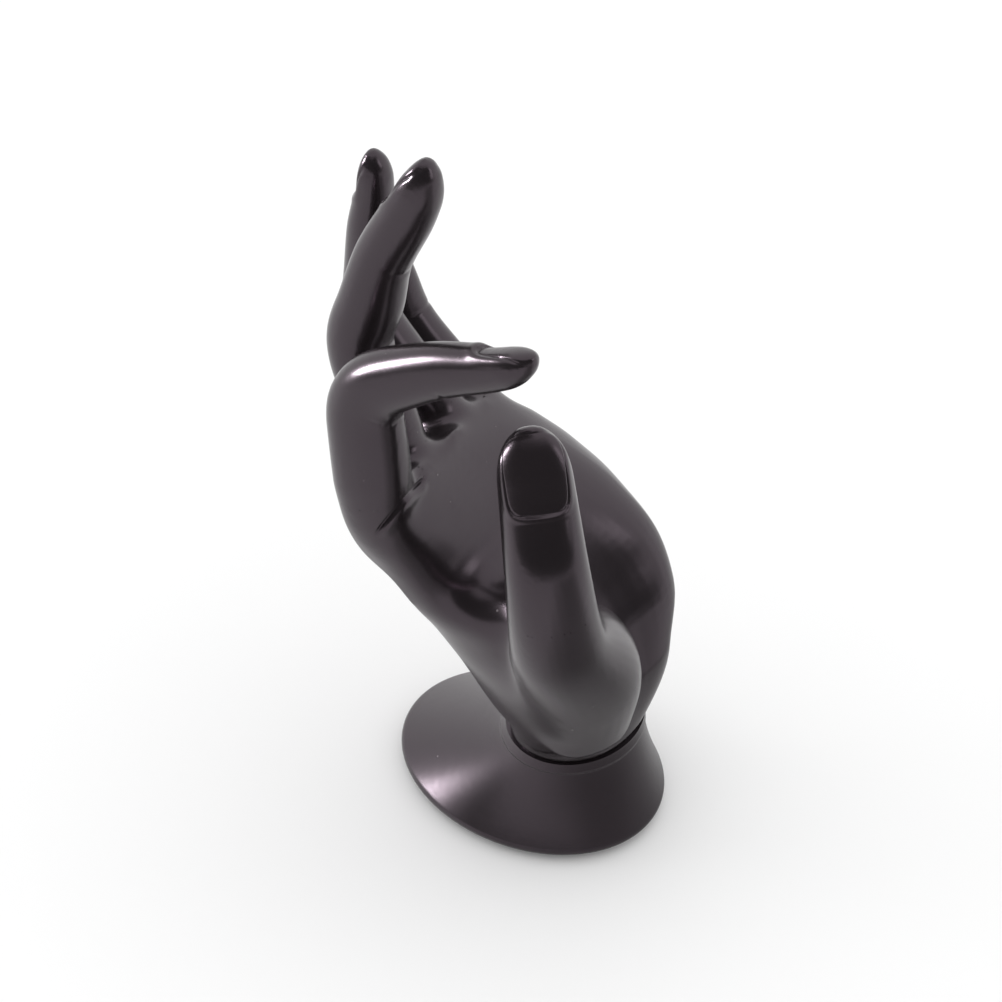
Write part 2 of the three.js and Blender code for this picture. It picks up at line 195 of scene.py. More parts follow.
# Nails: half width, half length, gap from the tip to the free edge, turn about the limb, side of the limb,
# how deep the cuticle lies, how proud the free edge is, and how much flatter than the finger they are.
NAILS = {
    "thumb": dict(wide=6.5, long=8.9, gap=0.9, roll=0, face=-1, sink=0.3, rise=0.05, flat=0.9),
    "index_finger": dict(wide=3.6, long=7.0, gap=-0.4, roll=20, face=1, sink=0.8, rise=0.15, flat=0.5),
    "middle_finger": dict(wide=4.3, long=7.4, gap=0.0, roll=16, face=1, sink=0.5, rise=0.15, flat=0.5),
    "ring_finger": dict(wide=3.6, long=6.0, gap=0.0, roll=8, face=1, sink=0.5, rise=0.15, flat=0.45),
    "little_finger": dict(wide=3.0, long=4.8, gap=0.0, roll=0, face=1, sink=0.4, rise=0.12, flat=0.4),
}

# All nails: powers of their outline at the root and at the free edge, the plate's soft edge, the share of the
# plate that stays level, the groove round it and the swelling outside the groove.
NAIL_POWER = (4.8, 3.0)
NAIL_EDGE = 0.22
NAIL_SIDE = 1.5
NAIL_LEVEL = 0.35
NAIL_GROOVE = dict(deep=0.26, wide=0.2, fade=0.7)
NAIL_SWELL = dict(high=0.14, wide=0.5, outside=0.6)


def smoothstep(x, low, high):
    t = np.clip((np.asarray(x, float) - low) / (high - low), 0, 1)
    return t * t * (3 - 2 * t)


def through(places, values):
    """A smooth curve through values at places, level at every local high or low."""
    places, values = np.asarray(places, float), np.asarray(values, float)
    slopes = np.diff(values) / np.diff(places)
    before, after = np.r_[slopes[0], slopes], np.r_[slopes, slopes[-1]]
    same = before * after > 0
    tangents = np.where(same, 2 * before * after / np.where(same, before + after, 1), 0)

    def curve(s):
        s = np.clip(np.asarray(s, float), places[0], places[-1])
        i = np.clip(np.searchsorted(places, s, side="right") - 1, 0, len(slopes) - 1)
        span = places[i + 1] - places[i]
        t = (s - places[i]) / span
        rise = t * t * (3 - 2 * t)
        leave = t * (1 - t) ** 2 * span * tangents[i]
        arrive = t * t * (1 - t) * span * tangents[i + 1]
        return values[i] + rise * (values[i + 1] - values[i]) + leave - arrive

    return curve


def unit(v):
    return v / np.linalg.norm(v, axis=-1, keepdims=True)


def turned(v, axis, a):
    """A vector turned about an axis by the right-hand rule."""
    return v * math.cos(a) + np.cross(axis, v) * math.sin(a) + axis * np.dot(axis, v) * (1 - math.cos(a))


class HandFrame:
    """Where the hand stands: its wrist and its ways across, up and inward."""

    def __init__(self, sizes, base):
        lean = sizes.lean
        self.neck_level = base.pad_thick + BOND + base.height
        self.neck = np.array((base.neck_across, -base.neck_inward, self.neck_level))
        self.wrist = self.neck + np.array((sizes.wrist_across, -sizes.wrist_inward, sizes.wrist_rise))
        self.inward = np.array((0, -math.cos(lean), math.sin(lean)))
        self.across = turned(np.array((1.0, 0, 0)), self.inward, sizes.tilt)
        self.upward = turned(np.array((0, math.sin(lean), math.cos(lean))), self.inward, sizes.tilt)

    def point(self, place):
        place = np.asarray(place, float)
        return self.wrist + place @ np.stack((self.across, self.upward, self.inward))


class Limb:
    """A finger or thumb: frames along its middle line, with its half width, back and pad there."""

    def __init__(self, marks, centres, ways, side, width, back, pad, seam):
        self.marks, self.centres, self.along, self.seam = marks, centres, ways, seam
        self.side = unit(side - ways * (ways @ side)[:, None])
        self.dorsal = np.cross(ways, self.side)
        self.half, self.back, self.pad = width(marks) / 2, back(marks), pad(marks)
        self.length = marks[-1]

    def at(self, s):
        return int(np.clip(round((s - self.marks[0]) / STRIDE), 0, len(self.marks) - 1))

    def ring(self, s, count, scale=1.0, lift=0.0):
        i = self.at(s)
        turn = np.arange(count) / count * 2 * math.pi
        c, d = np.cos(turn), np.sin(turn)
        x = np.sign(c) * np.abs(c) ** (2 / LIMB_POWER) * self.half[i] * scale
        y = np.sign(d) * np.abs(d) ** (2 / LIMB_POWER) * self.half[i] * scale
        y = np.where(y > 0, y * self.back[i], y * self.pad[i]) + lift * (1 - scale) * self.half[i]
        return self.centres[i] + x[:, None] * self.side[i] + y[:, None] * self.dorsal[i]

    def rings(self, count, step, tip, lift):
        """Rings from the root to the rounded tip, which lifts towards the nail."""
        end = self.length - tip
        rings = [self.ring(s, count) for s in np.arange(self.marks[0], end, step)]
        for turn in np.radians(np.linspace(0, TIP_END, TIP_STEPS)):
            rings.append(self.ring(end + tip * math.sin(turn), count, math.cos(turn) ** TIP_POWER, lift))
        return rings

    def local(self, points):
        """Place along the limb, sideways, to the back, and the middle line's nearest sample."""
        near = np.empty(len(points), int)
        batch, skip = 4000, 4
        for start in range(0, len(points), batch):
            chunk = points[start:start + batch]
            gaps = ((chunk[:, None, :] - self.centres[None, ::skip, :]) ** 2).sum(-1)
            near[start:start + batch] = gaps.argmin(1) * skip
        near = np.minimum(near, len(self.marks) - 1)
        rel = points - self.centres[near]
        s = self.marks[near] + (rel * self.along[near]).sum(1)
        return s, (rel * self.side[near]).sum(1), (rel * self.dorsal[near]).sum(1), near


def finger_limb(hand, finger):
    first, second, third = finger["bones"]
    length = first + second + third
    knuckle, shaft, middle, end, pad = finger["widths"]
    splay = math.radians(finger["splay"])
    side, ahead = turned(hand.across, hand.inward, splay), turned(hand.upward, hand.inward, splay)
    root = hand.point(finger["knuckle"])
    bone = unit(root - hand.point(CARPUS))

    joint = first + second

    def ways(s):
        bend = finger["bends"][0] + finger["bends"][1] * smoothstep(s, first - JOINT_TURN, first + JOINT_TURN)
        bend = np.radians(bend + finger["bends"][2] * smoothstep(s, joint - JOINT_TURN, joint + JOINT_TURN))
        free = np.cos(bend)[:, None] * ahead + np.sin(bend)[:, None] * hand.inward
        held = smoothstep(-s, -KNUCKLE_TURN[1], -KNUCKLE_TURN[0])[:, None]
        return unit(free * (1 - held) + bone * held)

    marks = np.arange(-ROOT_LENGTH, length + STRIDE / 2, STRIDE)
    steps = ways(marks[:-1] + STRIDE / 2) * STRIDE
    centres = np.vstack((np.zeros(3), np.cumsum(steps, 0)))
    centres += root - centres[int(round(ROOT_LENGTH / STRIDE))]
    spots = (-ROOT_LENGTH, 0, first * SHAFT_AT, first, first + second * SHANK_AT, joint,
             joint + third * PAD_AT, length)
    width = through(spots, (knuckle * ROOT_TAPER, knuckle, shaft, middle, (middle + end) / 2, end, pad,
                            pad * TIP_TAPER))
    back, palmar = through(spots, finger["backs"]), through(spots, finger["pads"])
    limb = Limb(marks, centres, ways(marks), side, width, back, palmar, finger["seam"])
    limb.creases = (first, joint)
    return limb


def path_limb(hand, places, widths, depths, side, seam):
    """A limb along a curve through places, with sizes that follow it."""
    points = hand.point(places)
    count = len(points)
    dense, firsts = [], []
    for i in range(count - 1):
        p1, p2 = points[i], points[i + 1]
        p0 = points[i - 1] if i else 2 * p1 - p2
        p3 = points[i + 2] if i + 2 < count else 2 * p2 - p1
        d0, d1, d2 = (np.linalg.norm(b - a) ** 0.5 for a, b in ((p0, p1), (p1, p2), (p2, p3)))
        t1 = ((p1 - p0) / d0 - (p2 - p0) / (d0 + d1) + (p2 - p1) / d1) * d1
        t2 = ((p2 - p1) / d1 - (p3 - p1) / (d1 + d2) + (p3 - p2) / d2) * d1
        t = np.linspace(0, 1, PATH_STEPS, endpoint=i == count - 2)[:, None]
        firsts.append(sum(len(part) for part in dense))
        dense.append(p1 + t * t1 + t * t * (3 * (p2 - p1) - 2 * t1 - t2) + t ** 3 * (2 * (p1 - p2) + t1 + t2))
    line = np.vstack(dense)
    run = np.r_[0, np.cumsum(np.linalg.norm(np.diff(line, axis=0), axis=1))]
    stops = [run[i] for i in firsts] + [run[-1]]
    marks = np.arange(0, run[-1] + STRIDE / 2, STRIDE)
    centres = np.stack([np.interp(marks, run, line[:, k]) for k in range(3)], 1)
    ways = unit(np.gradient(centres, axis=0))
    depth = through(stops, depths)
    return Limb(marks, centres, ways, side, through(stops, widths), depth, depth, seam)


def palm_rings(hand, base, count, step):
    curves = {key: through(PALM["up"], values) for key, values in PALM.items()}
    turn = np.arange(count) / count * 2 * math.pi
    c, d = np.cos(turn), np.sin(turn)
    power = 2 / np.where((c < 0) & (d < 0), PALM_CORNER, PALM_POWER)
    x, y = np.sign(c) * np.abs(c) ** power, np.sign(d) * np.abs(d) ** power
    rings = []
    for up in np.arange(PALM["up"][0], PALM["up"][-1] + step / 2, step):
        size = {key: float(curve(up)) for key, curve in curves.items()}
        face = through((-PALM_BLEND, 0, PALM_BLEND), (size["ball"], size["hollow"], size["heel"]))(x)
        place = size["inner"] + (size["outer"] - size["inner"]) * (x + 1) / 2
        deep = np.where(y > 0, -y * size["back"], -y * face)
        rings.append(hand.point(np.stack((place, up + size["skew"] * place, deep), 1)))
    neck = np.stack((c * base.neck_width / 2, d * base.neck_depth / 2, 0 * c), 1) + hand.neck + (0, 0, BOND)
    heel = [neck - (0, 0, drop) for drop in WRIST_DROPS]
    for turn in np.linspace(0, math.pi / 2, HEEL_STEPS)[:-1]:
        spread = neck + (rings[0] - neck) * math.sin(turn)
        rise = neck + (rings[0] - neck) * (1 - math.cos(turn))
        height = spread[:, 2] * (1 - HEEL_BULGE) + rise[:, 2] * HEEL_BULGE
        heel.append(np.column_stack((spread[:, :2], height)))
    rings = heel + rings
    end = rings[-1]
    middle = end.mean(0)
    for drawn, rise in PALM_END:
        rings.append(end + (middle - end) * drawn + hand.upward * rise)
    return rings


def only(obj):
    bpy.ops.object.select_all(action="DESELECT")
    obj.select_set(True)
    bpy.context.view_layer.objects.active = obj


def loft(name, rings):
    """A closed skin through a stack of rings: a disc that is extruded from ring to ring."""
    bpy.ops.object.select_all(action="DESELECT")
    bpy.ops.mesh.primitive_circle_add(vertices=len(rings[0]), radius=1, fill_type="NGON")
    obj = bpy.context.object
    obj.name = obj.data.name = name
    bpy.ops.object.mode_set(mode="EDIT")
    bpy.ops.mesh.select_all(action="SELECT")
    mesh = bmesh.from_edit_mesh(obj.data)
    corners = sorted(mesh.verts, key=lambda v: math.atan2(v.co.y, v.co.x) % (2 * math.pi))
    for corner, place in zip(corners, rings[0]):
        corner.co = Vector(place * MM)
    for before, ring in zip(rings, rings[1:]):
        bmesh.update_edit_mesh(obj.data)
        bpy.ops.mesh.extrude_region_move()
        mesh = bmesh.from_edit_mesh(obj.data)
        for v in [v for v in mesh.verts if v.select]:
            gap = ((before * MM - np.array(v.co)) ** 2).sum(1)
            v.co = Vector(ring[gap.argmin()] * MM)
    bmesh.update_edit_mesh(obj.data)
    bpy.ops.mesh.select_all(action="SELECT")
    bpy.ops.mesh.normals_make_consistent(inside=False)
    bpy.ops.object.mode_set(mode="OBJECT")
    return obj


def modify(obj, kind, **settings):
    """Adds a modifier, sets it and applies it."""
    only(obj)
    bpy.ops.object.modifier_add(type=kind)
    modifier = obj.modifiers[-1]
    for key, value in settings.items():
        setattr(modifier, key, value)
    bpy.ops.object.modifier_apply(modifier=modifier.name)


def points_of(obj):
    co = np.empty(len(obj.data.vertices) * 3, np.float32)
    obj.data.vertices.foreach_get("co", co)
    return co.reshape(-1, 3).astype(float) / MM


def normals_of(obj):
    no = np.empty(len(obj.data.vertices) * 3, np.float32)
    obj.data.vertex_normals.foreach_get("vector", no)
    return no.reshape(-1, 3).astype(float)


def move_points(obj, points):
    obj.data.vertices.foreach_set("co", (points * MM).astype(np.float32).ravel())
    obj.data.update()


def weigh(obj, name, weights):
    """A vertex group from an array of weights, in even steps."""
    group = obj.vertex_groups.new(name=name)
    steps = 50
    levels = np.round(np.clip(weights, 0, 1) * steps).astype(int)
    for level in np.unique(levels):
        group.add(np.nonzero(levels == level)[0].tolist(), level / steps, "REPLACE")
    return group.name


def tree_of(obj):
    return BVHTree.FromPolygons([v.co for v in obj.data.vertices], [p.vertices[:] for p in obj.data.polygons])


def gap_to(tree, points, reach):
    """How far each point is from a skin, up to a reach."""
    hits = (tree.find_nearest(p * MM, reach * MM) for p in points)
    return np.array([reach if hit[3] is None else hit[3] / MM for hit in hits])


def within(x, low, high, grow):
    """Which values lie in a range that has grown at both ends."""
    return (x > low - grow) & (x < high + grow)


def bell(x, width):
    return np.exp(-(x / width) ** 2)


def relaxed(points, edges, inside, repeat):
    """Moves the points inside towards the middle of their neighbours, again and again."""
    edges = edges[inside[edges].any(1)]
    used, edges = np.unique(edges, return_inverse=True)
    a, b = edges.reshape(-1, 2).T
    local, free = points[used], inside[used]
    share = 0.5 / np.bincount(np.concatenate((a, b)), minlength=len(used))[free, None]
    for step in range(repeat):
        total = [np.bincount(a, column[b], len(used)) + np.bincount(b, column[a], len(used))
                 for column in local.T]
        local[free] = local[free] * 0.5 + np.stack(total, 1)[free] * share
    points = points.copy()
    points[used] = local
    return points


class HandModel:
    """The whole hand as one skin, which is then cut into its cast sections."""

    def __init__(self, sizes, base):
        self.sizes = sizes
        self.hand = HandFrame(sizes, base)
        self.limbs = {name: finger_limb(self.hand, finger) for name, finger in FINGERS.items()}
        way = math.radians(THUMB["turn"])
        nail_side = self.hand.across * math.cos(way) + self.hand.inward * math.sin(way)
        thumb = path_limb(self.hand, THUMB["place"], THUMB["width"], THUMB["depth"], nail_side, THUMB["seam"])
        self.limbs["thumb"] = thumb
        web = path_limb(self.hand, WEB["place"], WEB["width"], WEB["depth"], self.hand.upward, 0)
        ball = path_limb(self.hand, THENAR["place"], THENAR["width"], THENAR["depth"], self.hand.inward, 0)
        blanks = [
            loft("palm_blank", palm_rings(self.hand, base, PALM_SIDES, PALM_STEP)),
            loft("web_blank", [web.ring(s, LIMB_SIDES) for s in np.arange(0, web.length, WEB_STEP)]),
            loft("ball_blank", ball.rings(LIMB_SIDES, WEB_STEP, THENAR_TIP, 0)),
        ]
        self.trees = [tree_of(blank) for blank in blanks]
        for name, limb in self.limbs.items():
            tip = limb.half[-1] * 2 * TIP_LENGTH.get(name, TIP_LENGTH["finger"])
            rings = limb.rings(LIMB_SIDES, LIMB_STEP, tip, NAIL_LIFT * NAILS[name]["face"])
            blanks.append(loft(name + "_blank", rings))
        bpy.ops.object.select_all(action="DESELECT")
        for blank in blanks:
            blank.select_set(True)
        bpy.context.view_layer.objects.active = blanks[0]
        bpy.ops.object.join()
        self.skin = bpy.context.object
        self.skin.name = self.skin.data.name = "palm"
        modify(self.skin, "REMESH", mode="VOXEL", voxel_size=sizes.voxel * MM, use_smooth_shade=True)

    def places(self):
        """For every point of the skin, the limb that it lies on, where on it, and its gap to each limb."""
        points = points_of(self.skin)
        count = len(points)
        far, margin = 99.0, 16
        gaps = np.full((count, len(self.limbs)), far)
        best, owner, local = np.full(count, np.inf), np.full(count, -1), np.zeros((count, 3))
        for k, limb in enumerate(self.limbs.values()):
            low, high = limb.centres.min(0) - margin, limb.centres.max(0) + margin
            inside = np.nonzero(((points > low) & (points < high)).all(1))[0]
            s, x, y, near = limb.local(points[inside])
            depth = np.where(y > 0, limb.back[near], limb.pad[near]) * limb.half[near]
            beyond = np.maximum(s - limb.length, 0) / limb.half[-1]
            reach = np.hypot(np.hypot(x / limb.half[near], y / depth), beyond)
            gaps[inside, k] = np.abs(reach - 1) * limb.half[near]
            closer = reach < best[inside]
            hit = inside[closer]
            best[hit], owner[hit] = reach[closer], k
            local[hit] = np.stack((s, x, y), 1)[closer]
        return points, owner, local, gaps

    def blend(self):
        """Rounds the skin, and fillets it where the blanks meet."""
        modify(self.skin, "SMOOTH", factor=0.5, iterations=10)
        points, owner, local, gaps = self.places()
        weight = np.ones(len(points))
        for k, name in enumerate(self.limbs):
            on = owner == k
            weight[on] *= 1 - smoothstep(local[on, 0], *FREE_FROM.get(name, FREE_FROM["finger"]))
        live = np.nonzero(weight > 0.01)[0]
        others = np.stack([gap_to(tree, points[live], FILLET_REACH) for tree in self.trees], 1)
        second = np.sort(np.hstack((gaps[live], others)), 1)[:, 1]
        weight[live] *= 1 - smoothstep(second, *FILLET)
        group = weigh(self.skin, "blend", weight)
        modify(self.skin, "SMOOTH", factor=0.5, iterations=self.sizes.blend, vertex_group=group)

    def ease(self):
        """Draws the skin smooth between the palm's edge and the thumb, and rounds that edge."""
        hand, points, normals = self.hand, points_of(self.skin), normals_of(self.skin)
        place = (points - hand.wrist) @ np.stack((hand.across, hand.upward, hand.inward), 1)
        across, up, inward = place.T
        edges = np.empty(len(self.skin.data.edges) * 2, np.int32)
        self.skin.data.edges.foreach_get("vertices", edges)
        facing = normals @ hand.across < -0.2
        forward = normals @ (hand.inward - hand.across) > 0.3
        upper = normals @ (hand.upward + hand.inward) > 0.3
        for grow, repeats in EASE_STAGES:
            deep, front = EASE_SIDE["inward"]
            front = front - EASE_SIDE["waist"] * smoothstep(up, *EASE_SIDE["waist_up"])
            side = facing & (across < EASE_SIDE["edge"]) & within(inward, deep, front, grow)
            side &= within(up, *EASE_SIDE["up"], grow)
            crest = forward & (across < EASE_CREST["edge"]) & within(inward, *EASE_CREST["inward"], grow)
            low, high = EASE_CREST["up"]
            crest &= within(up, low, high + grow, grow)
            web = upper & (np.abs(place - EASE_WEB["middle"]) < np.array(EASE_WEB["half"]) + grow).all(1)
            for inside, repeat in zip((side, crest, web), repeats):
                points = relaxed(points, edges.reshape(-1, 2), inside, repeat)
        move_points(self.skin, points)

    def fold(self, points):
        """How far each point is from the fold at the foot of the index finger, and how much it counts."""
        away = points - self.hand.point(FOLD["at"])
        side = away @ unit(self.hand.point(FOLD["way"]) - self.hand.wrist)
        far = np.linalg.norm(away, axis=1)
        return side, 1 - smoothstep(far, FOLD["reach"] - FOLD["fade"], FOLD["reach"])

    def refine(self):
        """Makes the facets finer round the nails and the fold."""
        points, owner, local, gaps = self.places()
        side, share = self.fold(points)
        near = (np.abs(side) < FINE_FOLD) & (share > 0)
        for k, (name, limb) in enumerate(self.limbs.items()):
            nail = NAILS[name]
            root = limb.length - nail["gap"] - 2 * nail["long"] - FINE_NAIL
            near |= (owner == k) & (local[:, 2] * nail["face"] > -1) & (local[:, 0] > root)
        self.select(near)
        bpy.ops.object.mode_set(mode="EDIT")
        bpy.ops.mesh.subdivide(number_cuts=FINE_CUTS, smoothness=0)
        bpy.ops.object.mode_set(mode="OBJECT")

    def detail(self):
        """Nails, creases and knuckles, raised or sunk along the skin's normals."""
        points, owner, local, gaps = self.places()
        lift = np.zeros(len(points))
        for k, (name, limb) in enumerate(self.limbs.items()):
            on = np.nonzero(owner == k)[0]
            s, x, y = local[on].T
            lift[on] += self.nail(limb, NAILS[name], s, x, y)
            if name != "thumb":
                lift[on] += self.joint_creases(limb, s, x, y)
                knuckle = self.hand.point(FINGERS[name]["knuckle"]) - self.hand.inward * KNUCKLE["behind"]
                lift += KNUCKLE["high"] * bell(np.linalg.norm(points - knuckle, axis=1), KNUCKLE["wide"])
        lift -= NECK_GROOVE["deep"] * bell(points[:, 2] - self.hand.neck_level, NECK_GROOVE["wide"])
        side, share = self.fold(points)
        lift += share * FOLD_LIP["high"] * bell(side + FOLD_LIP["aside"], FOLD_LIP["wide"])
        lift -= share * FOLD_GROOVE["deep"] * bell(side, FOLD_GROOVE["wide"])
        move_points(self.skin, points + lift[:, None] * normals_of(self.skin))

    @staticmethod
    def nail(limb, nail, s, x, y):
        """A plate with a thin groove round it, which lies lower than the skin at its root."""
        middle = limb.length - nail["gap"] - nail["long"]
        roll = math.radians(nail["roll"])
        x, y = x * math.cos(roll) - y * math.sin(roll), x * math.sin(roll) + y * math.cos(roll)
        along, wide = (s - middle) / nail["long"], np.abs(x) / nail["wide"]
        at_root, at_edge = NAIL_POWER
        power = at_edge + (at_root - at_edge) * smoothstep(-along, -0.3, 0.3)
        edge = ((wide ** power + np.abs(along) ** power) ** (1 / power) - 1) * nail["wide"]
        on = smoothstep(y * nail["face"], 0, NAIL_SIDE)
        inside = 1 - smoothstep(edge, -NAIL_EDGE, 0)
        out = smoothstep(along, -1, 1)
        plate = -nail["sink"] * (1 - out) + nail["rise"] * out + nail["flat"] * (wide ** 2 - NAIL_LEVEL)
        groove = NAIL_GROOVE["deep"] * bell(edge, NAIL_GROOVE["wide"])
        groove *= 1 - NAIL_GROOVE["fade"] * smoothstep(along, 0.5, 1)
        swell = NAIL_SWELL["high"] * bell(edge - NAIL_SWELL["outside"], NAIL_SWELL["wide"])
        swell *= 1 - smoothstep(along, 0.3, 0.95)
        return on * (inside * plate - groove + swell)

    @staticmethod
    def joint_creases(limb, s, x, y):
        """Shallow creases across the finger under its joints."""
        lift = np.zeros(len(s))
        depth = np.interp(s, limb.marks, limb.pad * limb.half)
        under = smoothstep(-y / depth, *CREASE["under"])
        for joint in limb.creases:
            lift -= CREASE["deep"] * under * bell(s - joint - CREASE["bow"] * x * x, CREASE["wide"])
        return lift

    def cut(self):
        """Cuts the skin at the wrist and at the seams, and caps the pieces."""
        points, owner, local, gaps = self.places()
        limb_of = self.skin.data.attributes.new("limb", "FLOAT", "POINT")
        limb_of.data.foreach_set("value", owner.astype(np.float32))
        only(self.skin)
        bpy.ops.object.mode_set(mode="EDIT")
        bpy.ops.mesh.select_all(action="SELECT")
        level = (self.hand.neck_level + BOND / 2) * MM
        bpy.ops.mesh.bisect(plane_co=(0, 0, level), plane_no=(0, 0, 1), clear_inner=True)
        bpy.ops.object.mode_set(mode="OBJECT")
        pieces = {"palm": self.skin}
        for k, (name, limb) in enumerate(self.limbs.items()):
            pieces[name] = self.part_off(name, k, limb)
        for piece in pieces.values():
            self.close(piece)
        return pieces

    def beyond(self, k, limb, margin):
        """Which points lie on a limb, past a plane across it near its seam."""
        i = limb.at(limb.seam)
        points = points_of(self.skin)
        owner = np.empty(len(points), np.float32)
        self.skin.data.attributes["limb"].data.foreach_get("value", owner)
        return (np.abs(owner - k) < 0.3) & ((points - limb.centres[i]) @ limb.along[i] > -margin)

    def part_off(self, name, k, limb):
        """Cuts a limb off the skin at its seam, as a piece of its own."""
        i, margin, touch = limb.at(limb.seam), 4, 1e-3
        self.select(self.beyond(k, limb, margin))
        bpy.ops.object.mode_set(mode="EDIT")
        bpy.ops.mesh.bisect(plane_co=limb.centres[i] * MM, plane_no=limb.along[i])
        bpy.ops.object.mode_set(mode="OBJECT")
        self.select(self.beyond(k, limb, touch))
        before = set(bpy.data.objects)
        bpy.ops.object.mode_set(mode="EDIT")
        bpy.ops.mesh.separate(type="SELECTED")
        bpy.ops.object.mode_set(mode="OBJECT")
        piece = next(o for o in bpy.data.objects if o not in before)
        piece.name = piece.data.name = name
        return piece

    def select(self, mask):
        """Selects the skin's faces whose points are all in the mask."""
        mesh = self.skin.data
        only(self.skin)
        bpy.ops.object.mode_set(mode="EDIT")
        bpy.ops.mesh.select_mode(type="FACE")
        bpy.ops.mesh.select_all(action="DESELECT")
        bpy.ops.object.mode_set(mode="OBJECT")
        corners = np.empty(len(mesh.loops), np.int32)
        mesh.loops.foreach_get("vertex_index", corners)
        starts = np.empty(len(mesh.polygons), np.int32)
        mesh.polygons.foreach_get("loop_start", starts)
        mesh.polygons.foreach_set("select", np.logical_and.reduceat(mask[corners], starts))

    def close(self, piece):
        """Caps every open edge of a piece, with its rim kept sharp."""
        only(piece)
        bpy.ops.object.mode_set(mode="EDIT")
        bpy.ops.mesh.select_mode(type="EDGE")
        bpy.ops.mesh.select_all(action="DESELECT")
        bpy.ops.mesh.select_non_manifold(extend=False, use_wire=False, use_multi_face=False,
                                         use_non_contiguous=False, use_verts=False)
        bpy.ops.mesh.mark_sharp()
        bpy.ops.mesh.edge_face_add()
        bpy.ops.mesh.select_all(action="SELECT")
        bpy.ops.mesh.normals_make_consistent(inside=False)
        bpy.ops.object.mode_set(mode="OBJECT")


class Shade:
    """A socket of a node tree, so that shader maths reads as plain sums."""

    def __init__(self, tree, socket=None):
        self.tree, self.socket = tree, socket

    def node(self, kind, settings=None, out=0, **sockets):
        """Any node: its type, its settings, then the values or links of its sockets, by name or by number."""
        node = self.tree.nodes.new(kind)
        for key, value in (settings or {}).items():
            setattr(node, key, value)
        for key, value in sockets.items():
            numbered = key[0] == "i" and key[1:].isdigit()
            slot = node.inputs[int(key[1:]) if numbered else key.replace("_", " ")]
            if isinstance(value, Shade):
                self.tree.links.new(value.socket, slot)
            else:
                slot.default_value = value
        return Shade(self.tree, node.outputs[out])

    def mix(self, share, first, second):
        """One colour that gives way to another."""
        return self.node("ShaderNodeMix", {"data_type": "RGBA"}, out=2, i0=share, i6=first, i7=second)

    def ramp(self, low, high, start=0.0, end=1.0):
        """A straight change from start to end, as the value goes from low to high."""
        return self.node("ShaderNodeMapRange", Value=self, i1=low, i2=high, i3=start, i4=end)

    def dot(self, way):
        """How far a vector goes along a way."""
        return self.node("ShaderNodeVectorMath", {"operation": "DOT_PRODUCT"}, out=1, i0=self, i1=way)

    def sum(self, operation, first, second):
        return self.node("ShaderNodeMath", {"operation": operation}, i0=first, i1=second)

    def __add__(self, other):
        return self.sum("ADD", self, other)

    def __radd__(self, other):
        return self.sum("ADD", other, self)

    def __sub__(self, other):
        return self.sum("SUBTRACT", self, other)

    def __rsub__(self, other):
        return self.sum("SUBTRACT", other, self)

    def __mul__(self, other):
        return self.sum("MULTIPLY", self, other)

    def __rmul__(self, other):
        return self.sum("MULTIPLY", other, self)

    def __truediv__(self, other):
        return self.sum("DIVIDE", self, other)

    def __rtruediv__(self, other):
        return self.sum("DIVIDE", other, self)


# Finishes: how much stronger the resin's paler patches are than its colour, its specks, the tint of its gloss and
# its refraction, then the ends of the felt's fibres and the two greys of the weight.
WARM_PATCH = (1.5, 1.35, 1.4)
SPECK_COLOUR = (0.3, 0.29, 0.28, 1)
RESIN_SHEEN = (1.0, 0.82, 0.955, 1.0)
RESIN_IOR = 1.58
FELT_NAP = (0.05, 0.05, 0.052, 1)
CASTING_GREYS = ((0.08, 0.078, 0.075, 1), (0.16, 0.155, 0.15, 1))


def new_material(name):
    """A new material, its node tree and its surface shader."""
    material = bpy.data.materials.new(name)
    material.use_nodes = True
    tree = material.node_tree
    shader = next(n for n in tree.nodes if n.type == "BSDF_PRINCIPLED")
    return material, tree, shader


def feed(tree, shader, **links):
    """Links shades to the sockets of a shader."""
    for key, shade in links.items():
        tree.links.new(shade.socket, shader.inputs[key.replace("_", " ")])


def resin(look):
    """Black cast resin, satin to gloss, with a little unevenness and a few pale specks."""
    material, tree, shader = new_material("black_resin")
    start = Shade(tree)
    place = start.node("ShaderNodeTexCoord", out=3)
    patches = start.node("ShaderNodeTexNoise", Vector=place, Scale=42.0, Detail=3.0)
    peel = start.node("ShaderNodeTexNoise", Vector=place, Scale=420.0, Detail=2.0)
    cells = start.node("ShaderNodeTexVoronoi", {"feature": "F1"}, Vector=place, Scale=150.0, Randomness=1.0)
    speck = cells.ramp(0.045, 0.02)
    dark = tuple(look.resin_colour) + (1,)
    warm = tuple(min(1, c * f) for c, f in zip(look.resin_colour, WARM_PATCH)) + (1,)
    colour = start.mix(speck * 0.5, start.mix(patches, dark, warm), SPECK_COLOUR)
    rough = patches * 0.1 + (look.resin_roughness - 0.05) + speck * 0.3
    bump = start.node("ShaderNodeBump", Strength=0.04, Distance=0.0004, Height=peel)
    shader.inputs["Specular Tint"].default_value = RESIN_SHEEN
    shader.inputs["IOR"].default_value = RESIN_IOR
    feed(tree, shader, Base_Color=colour, Roughness=rough, Normal=bump)
    return material


def felt(look):
    """Black pressed felt."""
    material, tree, shader = new_material("black_felt")
    start = Shade(tree)
    place = start.node("ShaderNodeTexCoord", out=3)
    fibre = start.node("ShaderNodeTexNoise", Vector=place, Scale=1800.0, Detail=4.0, Distortion=1.5)
    colour = start.mix(fibre, tuple(look.felt_colour) + (1,), FELT_NAP)
    bump = start.node("ShaderNodeBump", Strength=0.6, Distance=0.0005, Height=fibre)
    feed(tree, shader, Base_Color=colour, Roughness=fibre * 0.1 + 0.85, Normal=bump)
    return material


